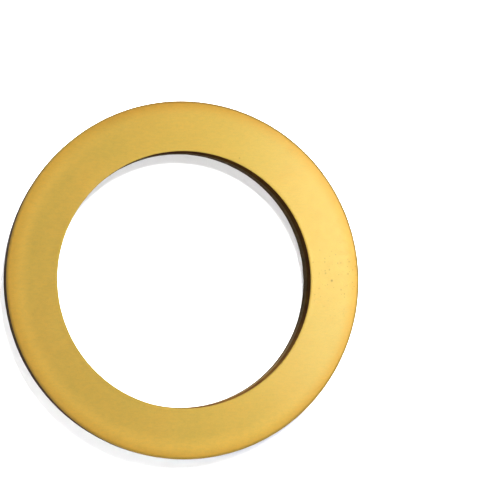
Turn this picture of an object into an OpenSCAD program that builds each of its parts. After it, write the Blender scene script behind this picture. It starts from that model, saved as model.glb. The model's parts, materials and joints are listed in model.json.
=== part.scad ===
// Flat washer, blanked and punched from strip.
// It lies on its lower face, centred on the origin, with the hole's axis along +Z.

/* [Ring] */
// Outside diameter
outside_diameter = 35; // [29:0.5:80]
// Diameter of the hole, measured on its sheared band
hole_diameter = 25; // [8:0.1:31.5]
// Thickness of the strip, face to face
thickness = 3; // [1.7:0.1:8]

/* [Outside edge] */
// How far the rolled-over edge reaches in across the upper face
rim_roll_width = 0.6; // [0.1:0.05:3]
// How far the rolled-over edge drops below the upper face
rim_roll_depth = 0.12; // [0.02:0.01:0.6]
// Height of the broken band, from the lower face up
rim_break_height = 1.2; // [0.2:0.05:2.6]
// How far the broken band leans in by the lower face
rim_break_lean = 0.06; // [0.01:0.01:0.3]

/* [Hole edge] */
// How far the rolled-over edge reaches out across the lower face
hole_roll_width = 0.4; // [0.1:0.05:2]
// How far the rolled-over edge rises above the lower face
hole_roll_depth = 0.12; // [0.02:0.01:0.6]
// Height of the broken band, from the upper face down
hole_break_height = 1.4; // [0.2:0.05:2.6]
// How far the broken band leans out by the upper face
hole_break_lean = 0.04; // [0.01:0.01:0.3]

/* [Corners] */
// Small bevel left by tumbling on the two corners that have no roll-over
corner_bevel = 0.05; // [0.02:0.01:0.18]

/* [Hidden] */
outside_radius = outside_diameter / 2;
hole_radius = hole_diameter / 2;
facets = 180; // sides drawn on a full turn
overshoot = 1; // how far a cutting shape runs past the blank

// Radius of the arc that is tangent to a face and drops by depth over width
function roll_radius(width, depth) = (width * width + depth * depth) / (2 * depth);

// What a roll-over takes off the corner at the origin, where the metal lies below and to the left
module roll_cut(width, depth) {
    radius = roll_radius(width, depth);
    difference() {
        translate([-width, -depth])
            square([width + overshoot, depth + overshoot]);
        translate([-width, -radius])
            circle(r = radius, $fn = facets);
    }
}

// What a broken band and its bevel take off, from the corner at the origin up the wall on its right
module break_cut(height, lean) {
    polygon([
        [-lean - corner_bevel, -overshoot],
        [-lean - corner_bevel, 0],
        [-lean * (1 - corner_bevel / height), corner_bevel],
        [0, height],
        [overshoot, height],
        [overshoot, -overshoot]
    ]);
}

// Half of the ring's cross-section, on the +X side of the axis
module ring_section() {
    difference() {
        translate([hole_radius, 0])
            square([outside_radius - hole_radius, thickness]);
        translate([outside_radius, thickness])
            roll_cut(rim_roll_width, rim_roll_depth);
        translate([outside_radius, 0])
            break_cut(rim_break_height, rim_break_lean);
        translate([hole_radius, 0])
            rotate(180)
                roll_cut(hole_roll_width, hole_roll_depth);
        translate([hole_radius, thickness])
            rotate(180)
                break_cut(hole_break_height, hole_break_lean);
    }
}

// The whole washer, in brass
module washer() {
    color("goldenrod")
        rotate_extrude($fn = facets)
            ring_section();
}

washer();
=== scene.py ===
"""A flat brass washer, blanked and punched from strip, lying on a pale table.

The ring is swept by Geometry Nodes from its cross-section, and the wear of its punched walls
is cut into the mesh. It has one material for its faces and one for its walls, which share their
grain, pits and tarnish as node groups.
"""

import json
import math
from collections import namedtuple
from types import SimpleNamespace

import bpy
from mathutils import Matrix, Vector


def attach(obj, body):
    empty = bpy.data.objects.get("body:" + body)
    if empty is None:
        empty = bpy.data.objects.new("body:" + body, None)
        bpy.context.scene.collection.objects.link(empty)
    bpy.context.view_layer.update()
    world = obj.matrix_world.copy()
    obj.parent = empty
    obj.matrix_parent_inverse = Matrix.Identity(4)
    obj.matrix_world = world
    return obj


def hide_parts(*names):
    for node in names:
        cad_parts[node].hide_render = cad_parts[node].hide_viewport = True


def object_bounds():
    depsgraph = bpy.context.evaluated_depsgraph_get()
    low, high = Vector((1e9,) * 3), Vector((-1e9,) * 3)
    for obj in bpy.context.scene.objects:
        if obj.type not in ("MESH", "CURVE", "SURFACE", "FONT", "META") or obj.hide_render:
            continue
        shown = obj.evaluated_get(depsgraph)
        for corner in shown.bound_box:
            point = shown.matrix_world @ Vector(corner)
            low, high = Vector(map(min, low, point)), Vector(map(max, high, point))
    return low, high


bl_info = {
    "name": "Flat Washer",
    "version": (1, 0, 0),
    "blender": (4, 5, 0),
    "location": "View3D > Sidebar > Washer",
    "description": "Makes a punched brass washer and a small studio for it",
    "category": "Add Mesh",
}

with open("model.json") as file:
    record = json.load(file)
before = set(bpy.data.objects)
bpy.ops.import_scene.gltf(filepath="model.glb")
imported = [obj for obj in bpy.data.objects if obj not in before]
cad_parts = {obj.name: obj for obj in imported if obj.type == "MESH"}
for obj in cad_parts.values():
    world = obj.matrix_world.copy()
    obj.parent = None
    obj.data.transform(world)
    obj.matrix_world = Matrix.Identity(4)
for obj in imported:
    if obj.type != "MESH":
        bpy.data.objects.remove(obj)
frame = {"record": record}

CAD_NODE = "washer"
BODY = "root"
MM = 0.001

CAD_LOW, CAD_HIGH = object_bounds()
BORE = next(mount for mount in frame["record"]["mounts"] if mount["name"] == "bore")
CAD_WIDTH = min(CAD_HIGH.x - CAD_LOW.x, CAD_HIGH.y - CAD_LOW.y)
CAD_THICKNESS = CAD_HIGH.z - CAD_LOW.z
CAD_HOLE = 2 * BORE["dims"]["r_mm"] * MM

# Names of the values that each point of the mesh carries
SECTION = "section"
TURN = "turn"
TORN = "torn"
WALL = "wall"
ROLLED = "rolled"
ACROSS = "across"


# ---------------------------------------------------------------- properties


def length(name, description, default):
    """A property that holds a length in metres."""
    return bpy.props.FloatProperty(
        name=name, description=description, default=default, min=0.0, precision=5,
        subtype="DISTANCE", unit="LENGTH",
    )


def offset(name, description, default):
    """A property that holds a length in metres, to either side of the axis."""
    return bpy.props.FloatProperty(
        name=name, description=description, default=default, unit="LENGTH", precision=5,
    )


def factor(name, description, default, top=1.0):
    """A property that holds a plain number from 0 up."""
    return bpy.props.FloatProperty(
        name=name, description=description, default=default, min=0.0, max=top,
    )


def angle(name, description, degrees):
    """A property that holds an angle."""
    return bpy.props.FloatProperty(
        name=name, description=description, default=math.radians(degrees),
        subtype="ANGLE", unit="ROTATION",
    )


def colour(name, description, default):
    """A property that holds a colour, in linear light."""
    return bpy.props.FloatVectorProperty(
        name=name, description=description, default=default, size=3,
        min=0.0, max=1.0, subtype="COLOR",
    )


class WasherShape(bpy.types.PropertyGroup):
    """Sizes of the ring and of the wear on its punched walls."""

    outside_diameter: length("Outside Diameter", "Across the ring", CAD_WIDTH)
    hole_diameter: length("Hole Diameter", "Across the hole's sheared band", CAD_HOLE)
    thickness: length("Thickness", "Face to face", CAD_THICKNESS)
    rim_roll_width: length(
        "Rim Roll Width", "Reach of the rolled-over edge in across the upper face", 0.6 * MM,
    )
    rim_roll_depth: length("Rim Roll Depth", "Drop of the rolled-over outside edge", 0.12 * MM)
    rim_break_height: length("Rim Break Height", "Height of the broken band on the rim", 1.2 * MM)
    rim_break_lean: length("Rim Break Lean", "How far the rim's broken band leans in", 0.06 * MM)
    hole_roll_width: length(
        "Hole Roll Width", "Reach of the hole's rolled edge across the lower face", 0.4 * MM,
    )
    hole_roll_depth: length("Hole Roll Depth", "Rise of the hole's rolled edge", 0.12 * MM)
    hole_break_height: length(
        "Hole Break Height", "Height of the broken band in the hole", 1.4 * MM,
    )
    hole_break_lean: length(
        "Hole Break Lean", "How far the hole's broken band leans out", 0.04 * MM,
    )
    corner: length("Corner", "Reach of the small tumbled corners", 0.05 * MM)
    tear_depth: length("Tear Depth", "Roughness of the broken bands", 0.035 * MM)
    score_depth: length("Score Depth", "Depth of the lines that the tools leave", 0.008 * MM)
    band_wander: length("Band Wander", "How far the edge of a broken band wanders", 0.22 * MM)
    dent_depth: length("Dent Depth", "Depth of the handling dents", 0.014 * MM)
    sides: bpy.props.IntProperty(
        name="Sides", description="Steps on a full turn", default=768, min=64, max=1024,
    )
    seed: bpy.props.IntProperty(
        name="Seed", description="Picks the pattern of tears and dents", default=7, min=0,
    )


class WasherFinish(bpy.types.PropertyGroup):
    """Colours and wear of the brass, with a painted highlight and painted shade on its faces."""

    brass: colour("Brass", "The rolled faces", (0.85, 0.53, 0.082))
    orange: colour("Orange Tone", "Warmer clouds on the faces", (0.90, 0.51, 0.075))
    olive: colour("Olive Tone", "Greener clouds on the faces", (0.76, 0.495, 0.074))
    # Painted highlight: a brighter tone on the band beside the rim, strongest on one side of the
    # ring
    sheen: colour(
        "Sheen Tone", "Painted highlight on the band beside the rim", (1.0, 0.60, 0.09),
    )
    # Orange tone of the rolled edge, with painted shade: laid on thickest on the side away from the
    # painted highlight
    rim: colour("Rim Tone", "Where the edge rolls over", (0.82, 0.42, 0.06))
    # Painted shade: a darker tone along the rim and the hole's edge, where the face rolls away from
    # the light
    edge: colour("Edge Shade", "Painted shade along the two edges", (0.38, 0.26, 0.08))
    speck: colour("Speck", "Pits and stains", (0.36, 0.20, 0.015))
    torn: colour("Torn Wall", "Tarnish in the broken bands", (0.052, 0.019, 0.003))
    sheared: colour("Sheared Wall", "The smoother sheared bands", (0.114, 0.080, 0.043))
    patch_x: offset("Patch X", "Middle of the speckled patch, along X", 14.7 * MM)
    patch_y: offset("Patch Y", "Middle of the speckled patch, along Y", 0.0)
    patch_reach: length("Patch Reach", "How far the speckled patch reaches", 4.5 * MM)
    # Side on which the painted highlight is strongest and the rim's painted shade weakest
    sheen_side: angle("Sheen Side", "Direction of the side with the most painted highlight, from +X", 215.0)
    face_roughness: factor("Face Roughness", "Roughness of the rolled faces", 0.45)
    wall_roughness: factor("Wall Roughness", "Roughness of the punched walls", 0.55)


class WasherStudio(bpy.types.PropertyGroup):
    """Camera, floor and lights."""

    camera_height: length("Camera Height", "Above the upper face", 0.200)
    camera_lean: angle("Camera Lean", "Off the vertical, as the washer sees it", 11.0)
    camera_side: angle("Camera Side", "Direction that the camera leans to, from +X", 193.0)
    aim_x: offset("Aim X", "Middle of the view, along X", 6.40 * MM)
    aim_y: offset("Aim Y", "Middle of the view, along Y", 2.94 * MM)
    lens: bpy.props.FloatProperty(
        name="Lens", description="Focal length in millimetres", default=150.4, min=1.0,
    )
    floor: colour("Floor", "Table top", (0.90, 0.90, 0.90))
    floor_bounce: factor("Floor Bounce", "Share of the floor's light that reaches the washer", 0.04)
    key_power: factor("Key Power", "Small lamp high at the back", 0.7, 100.0)
    fill_power: factor("Fill Power", "Lamp near the camera that fills the shadow", 0.575, 100.0)
    window_power: factor("Window Power", "Panel to the right", 0.155, 100.0)
    ceiling_power: factor("Ceiling Power", "Soft panel at the back", 0.03, 100.0)
    back_power: factor("Back Power", "Lower lamp at the back", 4.5, 100.0)
    world_light: factor("World Light", "Even light from all round", 0.52)


# ---------------------------------------------------------------- node helpers


def link_or_set(tree, socket, value):
    """Feeds a socket from another socket, or sets its plain value."""
    if isinstance(value, bpy.types.NodeSocket):
        tree.links.new(value, socket)
    elif value is not None:
        socket.default_value = value


def add_node(tree, kind, inputs=(), **settings):
    """Adds a node, gives it its settings and feeds its inputs by name or number."""
    node = tree.nodes.new(kind)
    for name, value in settings.items():
        setattr(node, name, value)
    for name, value in dict(inputs).items():
        link_or_set(tree, node.inputs[name], value)
    return node


def calc(tree, operation, *values, clamp=False):
    """A Math node's result."""
    node = add_node(tree, "ShaderNodeMath", operation=operation, use_clamp=clamp)
    for socket, value in zip(node.inputs, values):
        link_or_set(tree, socket, value)
    return node.outputs[0]


def times(tree, first, second):
    """One value times another."""
    return calc(tree, "MULTIPLY", first, second)


def vector_calc(tree, operation, *values):
    """A Vector Math node's vector."""
    node = add_node(tree, "ShaderNodeVectorMath", operation=operation)
    for socket, value in zip(node.inputs, values):
        link_or_set(tree, socket, value)
    return node.outputs["Vector"]


def scaled(tree, vector, amount):
    """A vector times a number."""
    node = add_node(
        tree, "ShaderNodeVectorMath", {"Vector": vector, "Scale": amount}, operation="SCALE",
    )
    return node.outputs["Vector"]


def ramp(tree, value, low, high, new_low=0.0, new_high=1.0):
    """A smooth step of value from low to high."""
    node = add_node(
        tree, "ShaderNodeMapRange",
        {"Value": value, "From Min": low, "From Max": high, "To Min": new_low, "To Max": new_high},
        interpolation_type="SMOOTHSTEP",
    )
    return node.outputs["Result"]


def noise(tree, vector, scale, seed, detail=2.0, roughness=0.5):
    """Noise from 0 to 1, picked by a seed."""
    node = add_node(
        tree, "ShaderNodeTexNoise",
        {"Vector": vector, "W": seed, "Scale": scale, "Detail": detail, "Roughness": roughness},
        noise_dimensions="4D",
    )
    return node.outputs[0]


def combine(tree, x, y, z):
    """A vector from its three parts."""
    node = add_node(tree, "ShaderNodeCombineXYZ", {"X": x, "Y": y, "Z": z})
    return node.outputs[0]


def split(tree, vector):
    """A vector's three parts, by name."""
    return add_node(tree, "ShaderNodeSeparateXYZ", {"Vector": vector}).outputs


def socket_name(key):
    """The name that a node socket has for a value's key."""
    return key.replace("_", " ").title()


def open_group(name, kind, inputs, outputs):
    """A node tree with its sockets: (tree, input node's outputs, output node's inputs)."""
    tree = bpy.data.node_groups.new(name, kind)
    for label, socket_type, value in inputs:
        socket = tree.interface.new_socket(name=label, in_out="INPUT", socket_type=socket_type)
        if value is not None:
            socket.default_value = value
    for label, socket_type in outputs:
        tree.interface.new_socket(name=label, in_out="OUTPUT", socket_type=socket_type)
    entry = tree.nodes.new("NodeGroupInput")
    end = tree.nodes.new("NodeGroupOutput")
    return tree, entry.outputs, end.inputs


# ---------------------------------------------------------------- the ring's tree

SHAPE_KEYS = (
    "outside_diameter", "hole_diameter", "thickness",
    "rim_roll_width", "rim_roll_depth", "rim_break_height", "rim_break_lean",
    "hole_roll_width", "hole_roll_depth", "hole_break_height", "hole_break_lean",
    "corner", "tear_depth", "score_depth", "band_wander", "dent_depth",
)

# Steps along each kind of stretch of the cross-section
FACE_STEPS = 26
LOWER_FACE_STEPS = 20
ROLL_STEPS = 12
WALL_STEPS = 11
EDGE_STEPS = 3
MERGE_DISTANCE = 1e-6
SWEEP_SHARE = 0.4  # of the outside diameter: where the section is swept before it is put in place

# Noise and cell scales are in features per metre
SLOW_WANDER_SCALE = 260.0
QUICK_WANDER_SCALE = 1500.0
SLOW_WANDER_WEIGHT = 3.0
BAND_FADE = 0.06 * MM  # how far a broken band fades to each side of its edge
TEAR_SCALE = 3200.0
SCORE_SCALE = 2600.0
SCORE_STRETCH = 0.06  # small, so that the lines run up the wall
ROLL_WAVE_SCALE = 300.0
ROLL_WAVE_DEPTH = 0.02 * MM
DENT_SCALE = 420.0
DENT_REACH = 0.16
DENT_RARITY = 0.62  # share of the cells that have no dent


def store(tree, geometry, name, value, data_type="FLOAT"):
    """Stores a named value on the geometry's points."""
    node = add_node(
        tree, "GeometryNodeStoreNamedAttribute",
        {"Geometry": geometry, "Name": name, "Value": value},
        domain="POINT", data_type=data_type,
    )
    return node.outputs["Geometry"]


def read(tree, name, data_type="FLOAT"):
    """A named value, stored before."""
    node = add_node(tree, "GeometryNodeInputNamedAttribute", {"Name": name}, data_type=data_type)
    return node.outputs["Attribute"]


def read_section(tree):
    """Each point's place in the cross-section, as its three parts."""
    return split(tree, read(tree, SECTION, "FLOAT_VECTOR"))


def section_stretch(tree, start, bend, end, steps, wall=0.0, rolled=0.0):
    """One stretch of the cross-section, from start to end, pulled towards bend."""
    curve = add_node(
        tree, "GeometryNodeCurveQuadraticBezier",
        {"Resolution": steps, "Start": start, "Middle": bend, "End": end},
    ).outputs["Curve"]
    curve = store(tree, curve, WALL, wall)
    return store(tree, curve, ROLLED, rolled)


def straight(tree, start, end, steps, wall=0.0):
    """One straight stretch of the cross-section."""
    middle = scaled(tree, vector_calc(tree, "ADD", start, end), 0.5)
    return section_stretch(tree, start, middle, end, steps, wall=wall)


def towards(tree, start, end, distance):
    """The point at a distance from start on the way to end."""
    way = vector_calc(tree, "NORMALIZE", vector_calc(tree, "SUBTRACT", end, start))
    return vector_calc(tree, "ADD", start, scaled(tree, way, distance))


def section_points(tree, size):
    """The ends and bends of the cross-section's stretches, in the XZ plane."""

    def add(a, b):
        """One value plus another."""
        return calc(tree, "ADD", a, b)

    def less(a, b):
        """One value less another."""
        return calc(tree, "SUBTRACT", a, b)

    outside = times(tree, size["Outside Diameter"], 0.5)
    hole = times(tree, size["Hole Diameter"], 0.5)
    top = size["Thickness"]
    corner = size["Corner"]
    places = {
        "rim_roll_start": (less(outside, size["Rim Roll Width"]), top),
        "rim_corner": (outside, top),
        "rim_roll_end": (outside, less(top, size["Rim Roll Depth"])),
        "rim_break": (outside, size["Rim Break Height"]),
        "rim_foot": (less(outside, size["Rim Break Lean"]), 0.0),
        "hole_roll_start": (add(hole, size["Hole Roll Width"]), 0.0),
        "hole_corner": (hole, 0.0),
        "hole_roll_end": (hole, size["Hole Roll Depth"]),
        "hole_break": (hole, less(top, size["Hole Break Height"])),
        "hole_top": (add(hole, size["Hole Break Lean"]), top),
    }
    at = SimpleNamespace(**{name: combine(tree, x, 0.0, z) for name, (x, z) in places.items()})
    at.rim_wall_end = towards(tree, at.rim_foot, at.rim_break, corner)
    at.lower_face_start = towards(tree, at.rim_foot, at.hole_roll_start, corner)
    at.hole_wall_end = towards(tree, at.hole_top, at.hole_break, corner)
    at.upper_face_start = towards(tree, at.hole_top, at.rim_roll_start, corner)
    return at


def ring_section(tree, size):
    """The closed cross-section in the XZ plane, whose points carry their zone."""
    at = section_points(tree, size)
    stretches = (
        straight(tree, at.upper_face_start, at.rim_roll_start, FACE_STEPS),
        section_stretch(
            tree, at.rim_roll_start, at.rim_corner, at.rim_roll_end, ROLL_STEPS, rolled=1.0,
        ),
        straight(tree, at.rim_roll_end, at.rim_break, WALL_STEPS, wall=1.0),
        straight(tree, at.rim_break, at.rim_wall_end, WALL_STEPS, wall=1.0),
        section_stretch(tree, at.rim_wall_end, at.rim_foot, at.lower_face_start, EDGE_STEPS),
        straight(tree, at.lower_face_start, at.hole_roll_start, LOWER_FACE_STEPS),
        section_stretch(
            tree, at.hole_roll_start, at.hole_corner, at.hole_roll_end, ROLL_STEPS, rolled=1.0,
        ),
        straight(tree, at.hole_roll_end, at.hole_break, WALL_STEPS, wall=1.0),
        straight(tree, at.hole_break, at.hole_wall_end, WALL_STEPS, wall=1.0),
        section_stretch(tree, at.hole_wall_end, at.hole_top, at.upper_face_start, EDGE_STEPS),
    )
    joined = add_node(tree, "GeometryNodeJoinGeometry")
    for stretch in stretches:
        tree.links.new(stretch, joined.inputs[0])
    edges = add_node(tree, "GeometryNodeCurveToMesh", {"Curve": joined.outputs[0]}).outputs[0]
    merged = add_node(
        tree, "GeometryNodeMergeByDistance", {"Geometry": edges, "Distance": MERGE_DISTANCE},
    ).outputs[0]
    loop = add_node(tree, "GeometryNodeMeshToCurve", {"Mesh": merged}).outputs[0]
    position = tree.nodes.new("GeometryNodeInputPosition").outputs[0]
    return store(tree, loop, SECTION, position, data_type="FLOAT_VECTOR")


def sweep(tree, section, sides, middle):
    """The cross-section carried round the axis, each point put where its section and turn say."""
    circle = add_node(
        tree, "GeometryNodeCurvePrimitiveCircle", {"Resolution": sides, "Radius": middle},
        mode="RADIUS",
    ).outputs["Curve"]
    index = tree.nodes.new("GeometryNodeInputIndex").outputs[0]
    circle = store(tree, circle, TURN, times(tree, calc(tree, "DIVIDE", index, sides), math.tau))
    skin = add_node(
        tree, "GeometryNodeCurveToMesh", {"Curve": circle, "Profile Curve": section},
    ).outputs[0]
    parts = read_section(tree)
    turn = read(tree, TURN)
    place = combine(
        tree,
        times(tree, parts["X"], calc(tree, "COSINE", turn)),
        times(tree, parts["X"], calc(tree, "SINE", turn)),
        parts["Z"],
    )
    return add_node(
        tree, "GeometryNodeSetPosition", {"Geometry": skin, "Position": place},
    ).outputs[0]


def wander(tree, place, amount, seed):
    """A slow wander to both sides of 0 as the place goes round the ring."""
    slow = calc(tree, "SUBTRACT", noise(tree, place, SLOW_WANDER_SCALE, seed, detail=3.0), 0.5)
    quick = calc(tree, "SUBTRACT", noise(tree, place, QUICK_WANDER_SCALE, seed), 0.5)
    both = calc(tree, "ADD", times(tree, slow, SLOW_WANDER_WEIGHT), quick)
    return times(tree, both, amount)


def across_field(tree, size):
    """0 at the hole and 1 at the rim."""
    section = read_section(tree)
    inner = times(tree, size["Hole Diameter"], 0.5)
    outer = times(tree, size["Outside Diameter"], 0.5)
    width = calc(tree, "SUBTRACT", outer, inner)
    return calc(tree, "DIVIDE", calc(tree, "SUBTRACT", section["X"], inner), width)


def torn_field(tree, size, position, seed):
    """1 on the broken bands, 0 elsewhere, with edges that wander."""
    parts = split(tree, position)
    around = combine(tree, parts["X"], parts["Y"], 0.0)
    shift = wander(tree, around, size["Band Wander"], seed)
    section = read_section(tree)
    hole_band = calc(tree, "ADD", size["Hole Break Height"], shift)
    hole_line = calc(tree, "SUBTRACT", size["Thickness"], hole_band)
    hole_torn = ramp(tree, calc(tree, "SUBTRACT", parts["Z"], hole_line), -BAND_FADE, BAND_FADE)
    rim_line = calc(tree, "ADD", size["Rim Break Height"], shift)
    rim_torn = ramp(tree, calc(tree, "SUBTRACT", rim_line, parts["Z"]), -BAND_FADE, BAND_FADE)
    both_diameters = calc(tree, "ADD", size["Outside Diameter"], size["Hole Diameter"])
    middle_radius = times(tree, both_diameters, 0.25)
    on_rim = calc(tree, "GREATER_THAN", section["X"], middle_radius)
    mixed = add_node(
        tree, "ShaderNodeMix", {0: on_rim, 2: hole_torn, 3: rim_torn}, data_type="FLOAT",
    ).outputs[0]
    return times(tree, mixed, read(tree, WALL))


def tear_depth(tree, size, position, seed):
    """The rough surface of the broken bands."""
    tear = noise(tree, position, TEAR_SCALE, seed, detail=4.0, roughness=0.6)
    return times(tree, times(tree, tear, read(tree, TORN)), size["Tear Depth"])


def score_depth(tree, size, position, seed):
    """The upright lines of the sheared bands."""
    parts = split(tree, position)
    drawn = combine(tree, parts["X"], parts["Y"], times(tree, parts["Z"], SCORE_STRETCH))
    score = noise(tree, drawn, SCORE_SCALE, seed)
    sheared = times(tree, read(tree, WALL), calc(tree, "SUBTRACT", 1.0, read(tree, TORN)))
    return times(tree, times(tree, score, sheared), size["Score Depth"])


def roll_depth(tree, position, seed):
    """The unevenness of the rolled-over edges."""
    wave = noise(tree, position, ROLL_WAVE_SCALE, seed)
    return times(tree, times(tree, wave, read(tree, ROLLED)), ROLL_WAVE_DEPTH)


def dent_depth(tree, size, position, seed):
    """Small round handling dents, all over."""
    cells = add_node(
        tree, "ShaderNodeTexVoronoi",
        {"Vector": position, "W": seed, "Scale": DENT_SCALE}, voronoi_dimensions="4D", feature="F1",
    ).outputs
    chosen = calc(tree, "GREATER_THAN", split(tree, cells["Color"])["X"], DENT_RARITY)
    dent = times(tree, ramp(tree, cells["Distance"], 0.0, DENT_REACH, 1.0, 0.0), chosen)
    return times(tree, dent, size["Dent Depth"])


def wear_depth(tree, size, position, seed):
    """How far each point of the skin is sunk."""
    walls = calc(
        tree, "ADD",
        tear_depth(tree, size, position, seed), score_depth(tree, size, position, seed),
    )
    rest = calc(
        tree, "ADD", roll_depth(tree, position, seed), dent_depth(tree, size, position, seed),
    )
    return calc(tree, "ADD", walls, rest)


def build_ring_tree():
    """The Geometry Nodes tree that makes the whole washer from its sizes."""
    inputs = [(socket_name(key), "NodeSocketFloat", None) for key in SHAPE_KEYS]
    inputs += [
        ("Sides", "NodeSocketInt", None),
        ("Seed", "NodeSocketFloat", None),
        ("Face Finish", "NodeSocketMaterial", None),
        ("Wall Finish", "NodeSocketMaterial", None),
    ]
    tree, size, result = open_group(
        "Washer Ring", "GeometryNodeTree", inputs, [("Geometry", "NodeSocketGeometry")],
    )
    tree.is_modifier = True
    section = ring_section(tree, size)
    middle = times(tree, size["Outside Diameter"], SWEEP_SHARE)
    skin = sweep(tree, section, size["Sides"], middle)
    skin = store(tree, skin, ACROSS, across_field(tree, size))
    position = tree.nodes.new("GeometryNodeInputPosition").outputs[0]
    skin = store(tree, skin, TORN, torn_field(tree, size, position, size["Seed"]))
    normal = tree.nodes.new("GeometryNodeInputNormal").outputs[0]
    depth = wear_depth(tree, size, position, size["Seed"])
    sink = scaled(tree, normal, times(tree, depth, -1.0))
    on_wall = calc(tree, "GREATER_THAN", read(tree, WALL), 0.5)
    for kind, inputs in (
        ("GeometryNodeSetPosition", {"Offset": sink}),
        ("GeometryNodeSetShadeSmooth", {"Shade Smooth": True}),
        ("GeometryNodeRealizeInstances", {}),
        ("GeometryNodeSetMaterial", {"Material": size["Face Finish"]}),
        ("GeometryNodeSetMaterial", {"Selection": on_wall, "Material": size["Wall Finish"]}),
    ):
        skin = add_node(tree, kind, {"Geometry": skin, **inputs}).outputs[0]
    tree.links.new(skin, result["Geometry"])
    return tree


def socket_identifiers(tree):
    """Each input's identifier by its name."""
    return {
        item.name: item.identifier
        for item in tree.interface.items_tree
        if item.item_type == "SOCKET" and item.in_out == "INPUT"
    }


def run_tree(name, tree, values):
    """A plain mesh object made by a Geometry Nodes tree with these inputs."""
    carrier = bpy.data.objects.new(name, bpy.data.meshes.new(name))
    bpy.context.scene.collection.objects.link(carrier)
    modifier = carrier.modifiers.new(name, "NODES")
    modifier.node_group = tree
    identifiers = socket_identifiers(tree)
    for input_name, value in values.items():
        modifier[identifiers[input_name]] = value
    bpy.context.view_layer.update()
    graph = bpy.context.evaluated_depsgraph_get()
    mesh = bpy.data.meshes.new_from_object(carrier.evaluated_get(graph))
    carrier.modifiers.clear()
    carrier.data = mesh
    mesh.name = name
    return carrier


# ---------------------------------------------------------------- shader groups


def shader_group(name, inputs, outputs):
    """A shader node group with float inputs and float outputs."""
    return open_group(
        name, "ShaderNodeTree",
        [("Vector", "NodeSocketVector", None)] + [(n, "NodeSocketFloat", v) for n, v in inputs],
        [(n, "NodeSocketFloat") for n in outputs],
    )


# Values inside the shader groups
EVEN_GRAIN_SCALE = 1.7  # of the drawn grain's scale
DRAWN_GRAIN_WEIGHT = 0.6
EVEN_GRAIN_WEIGHT = 0.4
SMALLEST_PIT = 0.4  # of the reach; the widest is 1 more than this
PIT_FLOOR = 0.4  # share of a pit's reach that is flat
SCRATCH_STRETCH = 0.06
SCRATCH_BOW_SCALE = 0.6  # of the scratches' scale
SCRATCH_BOW = 0.6 * MM
SCRATCH_LINE_SCALE = 6.0  # of the scratches' scale
SCRATCH_WIDTH = 0.006
SCRATCH_GATE_FADE = 0.08
GATE_SEED_STEP = 9.0


def build_clouds_group():
    """Soft clouds of tone, broken up at their edges."""
    tree, size, result = shader_group(
        "Tarnish Clouds", [("Scale", 300.0), ("Spread", 0.2), ("Seed", 0.0)], ["Mask"],
    )
    soft = noise(tree, size["Vector"], size["Scale"], size["Seed"], detail=3.0, roughness=0.55)
    low = calc(tree, "SUBTRACT", 0.5, size["Spread"])
    high = calc(tree, "ADD", 0.5, size["Spread"])
    tree.links.new(ramp(tree, soft, low, high), result["Mask"])
    return tree


def build_grain_group():
    """Fine grain drawn out along one direction."""
    tree, size, result = shader_group(
        "Rolled Grain", [("Scale", 6000.0), ("Stretch", 0.3), ("Seed", 0.0)], ["Height"],
    )
    parts = split(tree, size["Vector"])
    drawn = combine(tree, times(tree, parts["X"], size["Stretch"]), parts["Y"], parts["Z"])
    fine = noise(tree, drawn, size["Scale"], size["Seed"], detail=3.0, roughness=0.6)
    even_scale = times(tree, size["Scale"], EVEN_GRAIN_SCALE)
    even = noise(tree, size["Vector"], even_scale, size["Seed"], roughness=0.6)
    fine = times(tree, fine, DRAWN_GRAIN_WEIGHT)
    even = times(tree, even, EVEN_GRAIN_WEIGHT)
    tree.links.new(calc(tree, "ADD", fine, even), result["Height"])
    return tree


def build_pits_group():
    """Tiny round pits in a share of the cells, each with its own width."""
    tree, size, result = shader_group(
        "Pits", [("Scale", 900.0), ("Amount", 0.2), ("Reach", 0.12), ("Seed", 0.0)], ["Mask"],
    )
    moved = vector_calc(tree, "ADD", size["Vector"], combine(tree, size["Seed"], size["Seed"], 0.0))
    cells = add_node(
        tree, "ShaderNodeTexVoronoi", {"Vector": moved, "Scale": size["Scale"]}, feature="F1",
    ).outputs
    lots = add_node(tree, "ShaderNodeSeparateColor", {"Color": cells["Color"]}).outputs
    chosen = calc(tree, "LESS_THAN", lots[0], size["Amount"])
    reach = times(tree, size["Reach"], calc(tree, "ADD", lots[1], SMALLEST_PIT))
    pit = ramp(tree, cells["Distance"], times(tree, reach, PIT_FLOOR), reach, 1.0, 0.0)
    tree.links.new(times(tree, pit, chosen), result["Mask"])
    return tree


def build_scratch_group():
    """Sparse fine scratches, all running one way."""
    tree, size, result = shader_group(
        "Handling Scratches",
        [("Scale", 400.0), ("Turn", 0.0), ("Amount", 0.5), ("Seed", 0.0)], ["Mask"],
    )
    turned = add_node(
        tree, "ShaderNodeVectorRotate", {"Vector": size["Vector"], "Angle": size["Turn"]},
        rotation_type="Z_AXIS",
    ).outputs[0]
    parts = split(tree, turned)
    bow_scale = times(tree, size["Scale"], SCRATCH_BOW_SCALE)
    bow = noise(tree, turned, bow_scale, size["Seed"], detail=1.0)
    bent = calc(tree, "ADD", parts["Y"], times(tree, bow, SCRATCH_BOW))
    drawn = combine(tree, times(tree, parts["X"], SCRATCH_STRETCH), bent, 0.0)
    line_scale = times(tree, size["Scale"], SCRATCH_LINE_SCALE)
    lines = noise(tree, drawn, line_scale, size["Seed"], detail=1.0)
    off_line = calc(tree, "ABSOLUTE", calc(tree, "SUBTRACT", lines, 0.5))
    line = ramp(tree, off_line, 0.0, SCRATCH_WIDTH, 1.0, 0.0)
    gate_seed = calc(tree, "ADD", size["Seed"], GATE_SEED_STEP)
    gate = noise(tree, size["Vector"], size["Scale"], gate_seed)
    low = calc(tree, "SUBTRACT", 1.0, size["Amount"])
    gate = ramp(tree, gate, low, calc(tree, "ADD", low, SCRATCH_GATE_FADE))
    tree.links.new(times(tree, line, gate), result["Mask"])
    return tree


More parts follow.
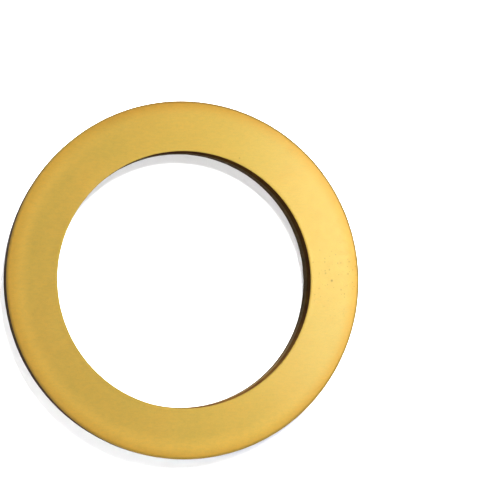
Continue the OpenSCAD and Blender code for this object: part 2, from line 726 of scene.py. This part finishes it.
def place_group(tree, group, vector, **values):
    """A shader group's outputs, with its inputs set by name."""
    node = add_node(tree, "ShaderNodeGroup", node_tree=group)
    link_or_set(tree, node.inputs["Vector"], vector)
    for key, value in values.items():
        link_or_set(tree, node.inputs[socket_name(key)], value)
    return node.outputs


# ---------------------------------------------------------------- materials

# How strongly each tone and mark shows, from 0 to 1
WARM_SHARE = 0.7
GREEN_SHARE = 0.6
# Strength of the painted highlight beside the rim
SHEEN_SHARE = 0.75
# Strength of the painted shade along the edges
EDGE_SHADE_SHARE = 0.5
FACE_PIT_SHARE = 0.6
SPECK_SHARE = 0.4
STAIN_SHARE = 0.7
WALL_CLOUD_SHARE = 0.12
WALL_PIT_SHARE = 0.5
SCRATCH_POLISH = 0.12  # how much smoother a scratch is than the face
TORN_ROUGHENING = 0.2  # how much rougher a broken band is than a sheared one

# Stretches of a face on which a tone fades, where the hole is 0 and the rim is 1
SHEEN_BAND = (0.5, 0.8)
RIM_BAND = (0.7, 0.98)
# Painted shade along the rim and along the hole's edge
RIM_EDGE_SHADE = (0.94, 0.99)
HOLE_EDGE_SHADE = (0.0, 0.04)

# Ramps: a value's low and high, then the result at each
# Rim tone and painted shade: strongest where the painted highlight is weakest
RIM_SHADE_BY_SIDE = (0.0, 0.6, 0.85, 0.35)
COAT_ACROSS_FACE = (0.72, 0.94, 0.75, 0.3)
SHADE_BY_GRAIN = (0.35, 0.65, 0.95, 1.05)
ROUGHNESS_BY_GRAIN = (0.3, 0.7, -0.05, 0.07)
SHADE_BY_LINES = (0.3, 0.7, 0.8, 1.2)
METALLIC_BY_TEAR = (0.0, 1.0, 0.45, 0.25)

# The painted highlight fades in across the ring towards its brightest side
SHEEN_FADE = (-0.5, 0.6)  # from one side of the ring to the other, where the rim is at -1 and 1
PATCH_CORE = 0.4  # share of the patch's reach in which the specks are thickest
STRAY_SPECKS = 0.12  # strength of the specks outside the patch
STAIN_FADE = (0.06 * MM, 0.16 * MM)
COAT_ROUGHNESS = 0.22
WALL_SPECULAR = 0.1

# Heights of the bumps
GRAIN_HEIGHT = 0.006 * MM
FACE_MARK_DEPTH = 0.004 * MM
LINE_HEIGHT = 0.01 * MM
WALL_PIT_DEPTH = 0.01 * MM


def mix_colour(tree, amount, first, second, blend="MIX"):
    """One colour over another."""
    node = add_node(tree, "ShaderNodeMix", data_type="RGBA", blend_type=blend)
    link_or_set(tree, node.inputs[0], amount)
    link_or_set(tree, node.inputs[6], first)
    link_or_set(tree, node.inputs[7], second)
    return node.outputs[2]


def shaded(tree, tone, shade):
    """A colour made lighter or darker."""
    grey = add_node(tree, "ShaderNodeCombineColor", {0: shade, 1: shade, 2: shade}).outputs[0]
    return mix_colour(tree, 1.0, tone, grey, "MULTIPLY")


def shader_attribute(tree, name):
    """A value that the mesh carries."""
    return add_node(
        tree, "ShaderNodeAttribute", attribute_name=name, attribute_type="GEOMETRY",
    ).outputs["Fac"]


def rgba(value):
    """A colour as four numbers."""
    return (*value, 1.0)


def new_material(name):
    """An empty node material: (material, tree, shader, object coordinates)."""
    material = bpy.data.materials.new(name)
    material.use_nodes = True
    tree = material.node_tree
    tree.nodes.clear()
    shader = tree.nodes.new("ShaderNodeBsdfPrincipled")
    output = tree.nodes.new("ShaderNodeOutputMaterial")
    tree.links.new(shader.outputs[0], output.inputs["Surface"])
    coordinates = tree.nodes.new("ShaderNodeTexCoord").outputs["Object"]
    return material, tree, shader, coordinates


def bump(tree, height, distance, below=None):
    """A bump of the given height in metres."""
    node = add_node(tree, "ShaderNodeBump", {"Distance": distance, "Height": height})
    if below is not None:
        tree.links.new(below, node.inputs["Normal"])
    return node.outputs[0]


def from_patch(tree, place, finish):
    """The distance from the middle of the speckled patch."""
    middle = (finish.patch_x, finish.patch_y, CAD_HIGH.z)
    away = vector_calc(tree, "SUBTRACT", place, middle)
    return add_node(
        tree, "ShaderNodeVectorMath", {"Vector": away}, operation="LENGTH",
    ).outputs["Value"]


def sheen_field(tree, place, finish):
    """Where the painted highlight falls: 1 on its brightest side, 0 on the other."""
    way = (math.cos(finish.sheen_side) / CAD_HIGH.x, math.sin(finish.sheen_side) / CAD_HIGH.x, 0.0)
    along = add_node(
        tree, "ShaderNodeVectorMath", {0: place, 1: way}, operation="DOT_PRODUCT",
    ).outputs["Value"]
    return ramp(tree, along, *SHEEN_FADE)


def face_specks(tree, place, finish, groups):
    """The speckled patch, with one stain in its middle."""
    specks = place_group(
        tree, groups["pits"], place, scale=2600.0, amount=0.9, reach=0.27, seed=9.0,
    )["Mask"]
    distance = from_patch(tree, place, finish)
    core = PATCH_CORE * finish.patch_reach
    specks = times(tree, specks, ramp(tree, distance, core, finish.patch_reach, 1.0, STRAY_SPECKS))
    stain = ramp(tree, distance, *STAIN_FADE, 1.0, 0.0)
    return calc(
        tree, "ADD", times(tree, specks, SPECK_SHARE), times(tree, stain, STAIN_SHARE), clamp=True,
    )


def face_tone(tree, place, finish, groups, grain, pits):
    """The faces' colour: each tone and mark laid over the ones before it, among them a painted
    highlight beside the rim and painted shade at the rim and along the edges.
    """
    warm = place_group(tree, groups["clouds"], place, scale=170.0, spread=0.2, seed=1.0)["Mask"]
    green = place_group(tree, groups["clouds"], place, scale=130.0, spread=0.2, seed=4.0)["Mask"]
    across = shader_attribute(tree, ACROSS)
    sheen = sheen_field(tree, place, finish)
    # Painted highlight on the band beside the rim
    sheen_band = times(tree, ramp(tree, across, *SHEEN_BAND), times(tree, sheen, SHEEN_SHARE))
    # Orange tone of the rolled edge, and painted shade on the side away from the painted highlight
    rim_tone_and_shade = times(tree, ramp(tree, across, *RIM_BAND), ramp(tree, sheen, *RIM_SHADE_BY_SIDE))
    # Painted shade along the hole's edge and the rim
    hole_edge_shade = ramp(tree, across, *HOLE_EDGE_SHADE, 1.0, 0.0)
    edge_shade = calc(tree, "MAXIMUM", ramp(tree, across, *RIM_EDGE_SHADE), hole_edge_shade)
    tone = rgba(finish.brass)
    for mask, over in (
        (times(tree, warm, WARM_SHARE), finish.orange),
        (times(tree, green, GREEN_SHARE), finish.olive),
        (sheen_band, finish.sheen),
        (rim_tone_and_shade, finish.rim),
        (times(tree, edge_shade, EDGE_SHADE_SHARE), finish.edge),
        (times(tree, pits, FACE_PIT_SHARE), finish.speck),
        (face_specks(tree, place, finish, groups), finish.speck),
    ):
        tone = mix_colour(tree, mask, tone, rgba(over))
    return shaded(tree, tone, ramp(tree, grain, *SHADE_BY_GRAIN))


def make_face_material(finish, groups):
    """Matt rolled brass under a thin coat that fades towards the rim."""
    material, tree, shader, place = new_material("rolled_brass")
    grain = place_group(
        tree, groups["grain"], place, scale=5200.0, stretch=0.35, seed=2.0,
    )["Height"]
    pits = place_group(
        tree, groups["pits"], place, scale=750.0, amount=0.10, reach=0.09, seed=3.0,
    )["Mask"]
    scratches = place_group(
        tree, groups["scratches"], place, scale=170.0, turn=0.6, amount=0.38, seed=5.0,
    )["Mask"]
    tone = face_tone(tree, place, finish, groups, grain, pits)
    link_or_set(tree, shader.inputs["Base Color"], tone)

    rough = calc(tree, "ADD", finish.face_roughness, ramp(tree, grain, *ROUGHNESS_BY_GRAIN))
    rough = calc(tree, "SUBTRACT", rough, times(tree, scratches, SCRATCH_POLISH))
    link_or_set(tree, shader.inputs["Roughness"], rough)
    shader.inputs["Metallic"].default_value = 1.0
    coat = ramp(tree, shader_attribute(tree, ACROSS), *COAT_ACROSS_FACE)
    link_or_set(tree, shader.inputs["Coat Weight"], coat)
    shader.inputs["Coat Roughness"].default_value = COAT_ROUGHNESS
    normal = bump(tree, grain, GRAIN_HEIGHT)
    normal = bump(tree, calc(tree, "ADD", pits, scratches), -FACE_MARK_DEPTH, below=normal)
    link_or_set(tree, shader.inputs["Normal"], normal)
    return material


def make_wall_material(finish, groups):
    """Tarnished punched wall: torn and dark in one band, drawn smooth and paler in the other."""
    material, tree, shader, place = new_material("punched_brass")
    torn = shader_attribute(tree, TORN)
    clouds = place_group(tree, groups["clouds"], place, scale=700.0, spread=0.2, seed=6.0)["Mask"]
    pits = place_group(
        tree, groups["pits"], place, scale=2600.0, amount=0.35, reach=0.25, seed=7.0,
    )["Mask"]
    upright = add_node(
        tree, "ShaderNodeMapping", {"Vector": place, "Rotation": (0.0, math.pi / 2, 0.0)},
    ).outputs[0]
    lines = place_group(
        tree, groups["grain"], upright, scale=5200.0, stretch=0.05, seed=8.0,
    )["Height"]

    tone = mix_colour(tree, torn, rgba(finish.sheared), rgba(finish.torn))
    tone = mix_colour(tree, times(tree, clouds, WALL_CLOUD_SHARE), tone, rgba(finish.speck))
    tone = shaded(tree, tone, ramp(tree, lines, *SHADE_BY_LINES))
    tone = mix_colour(tree, times(tree, pits, WALL_PIT_SHARE), tone, rgba(finish.torn))
    link_or_set(tree, shader.inputs["Base Color"], tone)

    link_or_set(tree, shader.inputs["Metallic"], ramp(tree, torn, *METALLIC_BY_TEAR))
    rough = calc(tree, "ADD", finish.wall_roughness, times(tree, torn, TORN_ROUGHENING))
    link_or_set(tree, shader.inputs["Roughness"], rough)
    shader.inputs["Specular IOR Level"].default_value = WALL_SPECULAR
    normal = bump(tree, lines, LINE_HEIGHT)
    normal = bump(tree, pits, -WALL_PIT_DEPTH, below=normal)
    link_or_set(tree, shader.inputs["Normal"], normal)
    return material


# ---------------------------------------------------------------- stage

SENSOR_WIDTH = 36.0
CLIP_NEAR = 0.01
CLIP_FAR = 10.0
FLOOR_HALF = 1.2
FLOOR_GAP = 0.02 * MM
WHITE = (1.0, 1.0, 1.0)

# Side and tilt are in degrees, from +X and off the vertical. "unseen" names the kind of ray that
# misses the lamp: without glossy rays it lights the table and the walls but not the metal faces.
Lamp = namedtuple("Lamp", "name side tilt distance width height tint unseen")
LAMPS = (
    Lamp("key", 77.0, 18.8, 0.6, 0.037, 0.037, WHITE, "glossy"),
    Lamp("fill", 236.0, 29.6, 0.109, 0.03, 0.03, WHITE, "glossy"),
    Lamp("window", 14.0, 28.0, 0.12, 0.04, 0.06, (0.84, 1.0, 1.2), "diffuse"),
    Lamp("ceiling", 110.0, 35.0, 0.30, 0.10, 0.10, WHITE, None),
    Lamp("back", 70.0, 52.0, 0.5, 0.2, 0.2, WHITE, "glossy"),
)


def facing(place, target):
    """The turn that points an object's -Z from place to target, with +Y up as far as it can be."""
    back = (place - target).normalized()
    right = Vector((0.0, 1.0, 0.0)).cross(back).normalized()
    up = back.cross(right)
    return Matrix((right, up, back)).transposed().to_4x4()


def from_zenith(side, tilt, distance):
    """A point at a distance from the washer, tilted off the vertical towards a side."""
    side = math.radians(side)
    tilt = math.radians(tilt)
    flat = math.sin(tilt)
    return Vector((flat * math.cos(side), flat * math.sin(side), math.cos(tilt))) * distance


def make_camera(studio):
    """The camera, looking down and leaning to one side."""
    target = Vector((studio.aim_x, studio.aim_y, CAD_HIGH.z))
    reach = studio.camera_height * math.tan(studio.camera_lean)
    place = Vector((
        reach * math.cos(studio.camera_side),
        reach * math.sin(studio.camera_side),
        CAD_HIGH.z + studio.camera_height,
    ))
    data = bpy.data.cameras.new("camera")
    data.lens = studio.lens
    data.sensor_width = SENSOR_WIDTH
    data.clip_start = CLIP_NEAR
    data.clip_end = CLIP_FAR
    camera = bpy.data.objects.new("camera", data)
    bpy.context.scene.collection.objects.link(camera)
    camera.matrix_world = Matrix.Translation(place) @ facing(place, target)
    bpy.context.scene.camera = camera


def make_floor(studio):
    """A plain pale table top, dimmer to the washer than to the camera."""
    mesh = bpy.data.meshes.new("floor")
    z = CAD_LOW.z - FLOOR_GAP
    signs = ((-1, -1), (1, -1), (1, 1), (-1, 1))
    corners = [(x * FLOOR_HALF, y * FLOOR_HALF, z) for x, y in signs]
    mesh.from_pydata(corners, [], [(0, 1, 2, 3)])
    floor = bpy.data.objects.new("floor", mesh)
    bpy.context.scene.collection.objects.link(floor)
    material = bpy.data.materials.new("table_top")
    material.use_nodes = True
    tree = material.node_tree
    tree.nodes.clear()
    dim_colour = [value * studio.floor_bounce for value in studio.floor]
    seen = add_node(tree, "ShaderNodeBsdfDiffuse", {"Color": rgba(studio.floor)})
    dim = add_node(tree, "ShaderNodeBsdfDiffuse", {"Color": rgba(dim_colour)})
    path = tree.nodes.new("ShaderNodeLightPath")
    mix = add_node(tree, "ShaderNodeMixShader", {
        0: path.outputs["Is Camera Ray"], 1: dim.outputs[0], 2: seen.outputs[0],
    })
    output = tree.nodes.new("ShaderNodeOutputMaterial")
    tree.links.new(mix.outputs[0], output.inputs["Surface"])
    mesh.materials.append(material)


def make_panel(spec, power):
    """A lamp aimed at the washer. Power is how bright it alone would make a white table."""
    data = bpy.data.lights.new(spec.name, "AREA")
    data.shape = "RECTANGLE"
    data.size = spec.width
    data.size_y = spec.height
    fall = math.cos(math.radians(spec.tilt)) / (spec.distance * spec.distance)
    data.energy = power * math.pi * math.pi / fall
    data.color = spec.tint
    lamp = bpy.data.objects.new(spec.name, data)
    bpy.context.scene.collection.objects.link(lamp)
    place = from_zenith(spec.side, spec.tilt, spec.distance)
    lamp.matrix_world = Matrix.Translation(place) @ facing(place, Vector((0.0, 0.0, 0.0)))
    lamp.visible_camera = False
    lamp.visible_glossy = spec.unseen != "glossy"
    lamp.visible_diffuse = spec.unseen != "diffuse"


def make_lights(studio):
    """The lamps, of which the key draws the shadow, and even light from all round."""
    for spec in LAMPS:
        make_panel(spec, getattr(studio, f"{spec.name}_power"))
    world = bpy.data.worlds.new("studio")
    world.use_nodes = True
    background = world.node_tree.nodes["Background"]
    background.inputs["Color"].default_value = rgba(WHITE)
    background.inputs["Strength"].default_value = studio.world_light
    bpy.context.scene.world = world


# ---------------------------------------------------------------- operators and panel


class WASHER_OT_ring(bpy.types.Operator):
    """Makes the punched brass ring in place of its plain CAD shape"""

    bl_idname = "washer.ring"
    bl_label = "Make Ring"

    def execute(self, context):
        shape = context.scene.washer_shape
        finish = context.scene.washer_finish
        groups = {
            "clouds": build_clouds_group(),
            "grain": build_grain_group(),
            "pits": build_pits_group(),
            "scratches": build_scratch_group(),
        }
        values = {socket_name(key): getattr(shape, key) for key in SHAPE_KEYS}
        values["Sides"] = shape.sides
        values["Seed"] = float(shape.seed)
        values["Face Finish"] = make_face_material(finish, groups)
        values["Wall Finish"] = make_wall_material(finish, groups)
        ring = run_tree("washer_ring", build_ring_tree(), values)
        if not ring.data.polygons:
            raise RuntimeError("the ring's tree made no faces")
        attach(ring, BODY)
        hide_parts(CAD_NODE)
        return {"FINISHED"}


class WASHER_OT_stage(bpy.types.Operator):
    """Makes the table, the lights and the camera"""

    bl_idname = "washer.stage"
    bl_label = "Make Stage"

    def execute(self, context):
        studio = context.scene.washer_studio
        make_floor(studio)
        make_lights(studio)
        make_camera(studio)
        context.scene.view_settings.view_transform = "Standard"
        return {"FINISHED"}


class WASHER_PT_main(bpy.types.Panel):
    """Sizes, colours and the buttons that make the washer and its stage"""

    bl_label = "Flat Washer"
    bl_idname = "WASHER_PT_main"
    bl_space_type = "VIEW_3D"
    bl_region_type = "UI"
    bl_category = "Washer"

    def draw(self, context):
        layout = self.layout
        for group_name, operator in (
            ("washer_shape", WASHER_OT_ring.bl_idname),
            ("washer_finish", None),
            ("washer_studio", WASHER_OT_stage.bl_idname),
        ):
            group = getattr(context.scene, group_name)
            box = layout.box()
            for name in group.__annotations__:
                box.prop(group, name)
            if operator:
                box.operator(operator)


CLASSES = (WasherShape, WasherFinish, WasherStudio, WASHER_OT_ring, WASHER_OT_stage, WASHER_PT_main)


def register():
    """Makes the classes and the scene's settings known to Blender."""
    for item in CLASSES:
        bpy.utils.register_class(item)
    bpy.types.Scene.washer_shape = bpy.props.PointerProperty(type=WasherShape)
    bpy.types.Scene.washer_finish = bpy.props.PointerProperty(type=WasherFinish)
    bpy.types.Scene.washer_studio = bpy.props.PointerProperty(type=WasherStudio)


def unregister():
    """Takes them back out."""
    del bpy.types.Scene.washer_studio
    del bpy.types.Scene.washer_finish
    del bpy.types.Scene.washer_shape
    for item in reversed(CLASSES):
        bpy.utils.unregister_class(item)


def main():
    """Makes the washer and its stage."""
    register()
    bpy.ops.washer.ring()
    bpy.ops.washer.stage()


if __name__ == "__main__":
    main()
